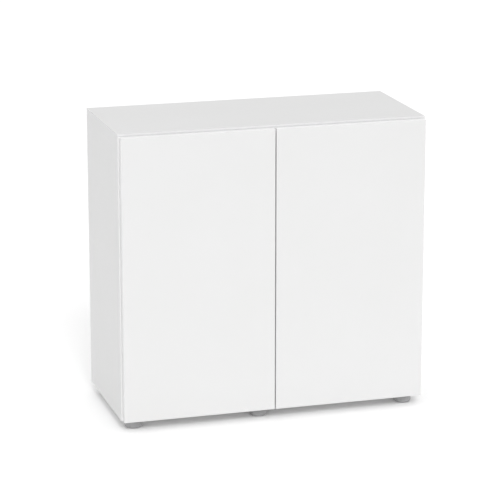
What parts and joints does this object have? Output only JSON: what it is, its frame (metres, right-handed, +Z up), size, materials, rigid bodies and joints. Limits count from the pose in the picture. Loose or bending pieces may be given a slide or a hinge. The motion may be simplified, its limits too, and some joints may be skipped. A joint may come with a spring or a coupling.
{
  "type": "aquarium stand cabinet",
  "caption": "White aquarium stand cabinet with push-to-open doors on concealed hinges, an inner shelf, cable openings in the back and levelling feet.",
  "frame": {"origin": "on the floor, under the middle of the cabinet's bounding box", "axes": "+X across the front towards the viewer's right when facing the doors from -Y, +Y towards the back, +Z up"},
  "size_m": [0.8, 0.3586, 0.765],
  "materials": {
    "white_board": "white melamine-faced particle board, smooth satin",
    "grey_plastic": "moulded mid-grey plastic, fine texture",
    "steel": "nickel-plated pressed steel",
    "latch_plastic": "light grey moulded plastic",
    "silicone": "clear silicone"
  },
  "bodies": {
    "carcass": {"top_panel": "white_board", "bottom_panel": "white_board", "left_side_panel": "white_board", "right_side_panel": "white_board", "centre_partition": "white_board", "back_panel": "white_board", "left_shelf": "white_board", "shelf_pin_front_left": "steel", "shelf_pin_front_right": "steel", "shelf_pin_back_left": "steel", "shelf_pin_back_right": "steel", "front_left_foot_socket": "grey_plastic", "front_middle_foot_socket": "grey_plastic", "front_right_foot_socket": "grey_plastic", "back_left_foot_socket": "grey_plastic", "back_middle_foot_socket": "grey_plastic", "back_right_foot_socket": "grey_plastic", "left_lower_hinge_plate": "steel", "left_lower_hinge_arm": "steel", "left_upper_hinge_plate": "steel", "left_upper_hinge_arm": "steel", "left_latch_housing": "latch_plastic", "right_lower_hinge_plate": "steel", "right_lower_hinge_arm": "steel", "right_upper_hinge_plate": "steel", "right_upper_hinge_arm": "steel", "right_latch_housing": "latch_plastic"},
    "left_short_links": {"left_lower_hinge_short_link": "steel", "left_upper_hinge_short_link": "steel"},
    "left_long_links": {"left_lower_hinge_long_link": "steel", "left_upper_hinge_long_link": "steel"},
    "left_door": {"left_door_panel": "white_board", "left_lower_hinge_cup": "steel", "left_upper_hinge_cup": "steel", "left_lower_bumper": "silicone", "left_upper_bumper": "silicone", "left_strike_plate": "steel"},
    "left_plunger": {"left_latch_plunger": "grey_plastic"},
    "right_short_links": {"right_lower_hinge_short_link": "steel", "right_upper_hinge_short_link": "steel"},
    "right_long_links": {"right_lower_hinge_long_link": "steel", "right_upper_hinge_long_link": "steel"},
    "right_door": {"right_door_panel": "white_board", "right_lower_hinge_cup": "steel", "right_upper_hinge_cup": "steel", "right_lower_bumper": "silicone", "right_upper_bumper": "silicone", "right_strike_plate": "steel"},
    "right_plunger": {"right_latch_plunger": "grey_plastic"},
    "front_left_glide": {"front_left_foot_glide": "grey_plastic"},
    "front_middle_glide": {"front_middle_foot_glide": "grey_plastic"},
    "front_right_glide": {"front_right_foot_glide": "grey_plastic"},
    "back_left_glide": {"back_left_foot_glide": "grey_plastic"},
    "back_middle_glide": {"back_middle_foot_glide": "grey_plastic"},
    "back_right_glide": {"back_right_foot_glide": "grey_plastic"}
  },
  "joints": [
    {"name": "left_short_link_turn", "type": "hinge", "parent": "carcass", "child": "left_short_links", "pos_m": [-0.3682, -0.16945, 0.393], "axis": [0, 0, 1], "range_deg": [0, 74]},
    {"name": "left_door_swing", "type": "hinge", "parent": "left_short_links", "child": "left_door", "pos_m": [-0.3838, -0.16775, 0.393], "axis": [0, 0, -1], "range_deg": [0, 171.9]},
    {"name": "left_long_link_turn", "type": "hinge", "parent": "carcass", "child": "left_long_links", "pos_m": [-0.3492, -0.15835, 0.393], "axis": [0, 0, 1], "range_deg": [0, 43.2]},
    {"name": "left_plunger_slide", "type": "slide", "parent": "carcass", "child": "left_plunger", "axis": [0, -1, 0], "range_m": [0, 0.0121]},
    {"name": "right_short_link_turn", "type": "hinge", "parent": "carcass", "child": "right_short_links", "pos_m": [0.3682, -0.16945, 0.393], "axis": [0, 0, -1], "range_deg": [0, 74]},
    {"name": "right_door_swing", "type": "hinge", "parent": "right_short_links", "child": "right_door", "pos_m": [0.3838, -0.16775, 0.393], "axis": [0, 0, 1], "range_deg": [0, 171.9]},
    {"name": "right_long_link_turn", "type": "hinge", "parent": "carcass", "child": "right_long_links", "pos_m": [0.3492, -0.15835, 0.393], "axis": [0, 0, -1], "range_deg": [0, 43.2]},
    {"name": "right_plunger_slide", "type": "slide", "parent": "carcass", "child": "right_plunger", "axis": [0, -1, 0], "range_m": [0, 0.0121]},
    {"name": "front_left_foot_screw", "type": "slide", "parent": "carcass", "child": "front_left_glide", "axis": [0, 0, -1], "range_m": [0, 0.008]},
    {"name": "front_middle_foot_screw", "type": "slide", "parent": "carcass", "child": "front_middle_glide", "axis": [0, 0, -1], "range_m": [0, 0.008]},
    {"name": "front_right_foot_screw", "type": "slide", "parent": "carcass", "child": "front_right_glide", "axis": [0, 0, -1], "range_m": [0, 0.008]},
    {"name": "back_left_foot_screw", "type": "slide", "parent": "carcass", "child": "back_left_glide", "axis": [0, 0, -1], "range_m": [0, 0.008]},
    {"name": "back_middle_foot_screw", "type": "slide", "parent": "carcass", "child": "back_middle_glide", "axis": [0, 0, -1], "range_m": [0, 0.008]},
    {"name": "back_right_foot_screw", "type": "slide", "parent": "carcass", "child": "back_right_glide", "axis": [0, 0, -1], "range_m": [0, 0.008]}
  ],
  "couplings": [
    {"joint": "left_short_link_turn", "follows": "left_door_swing", "ratio": 0.4302},
    {"joint": "left_long_link_turn", "follows": "left_door_swing", "ratio": 0.25071},
    {"joint": "left_plunger_slide", "follows": "left_door_swing", "m_per_rad": 0.004},
    {"joint": "right_short_link_turn", "follows": "right_door_swing", "ratio": 0.4302},
    {"joint": "right_long_link_turn", "follows": "right_door_swing", "ratio": 0.25071},
    {"joint": "right_plunger_slide", "follows": "right_door_swing", "m_per_rad": 0.004}
  ]
}
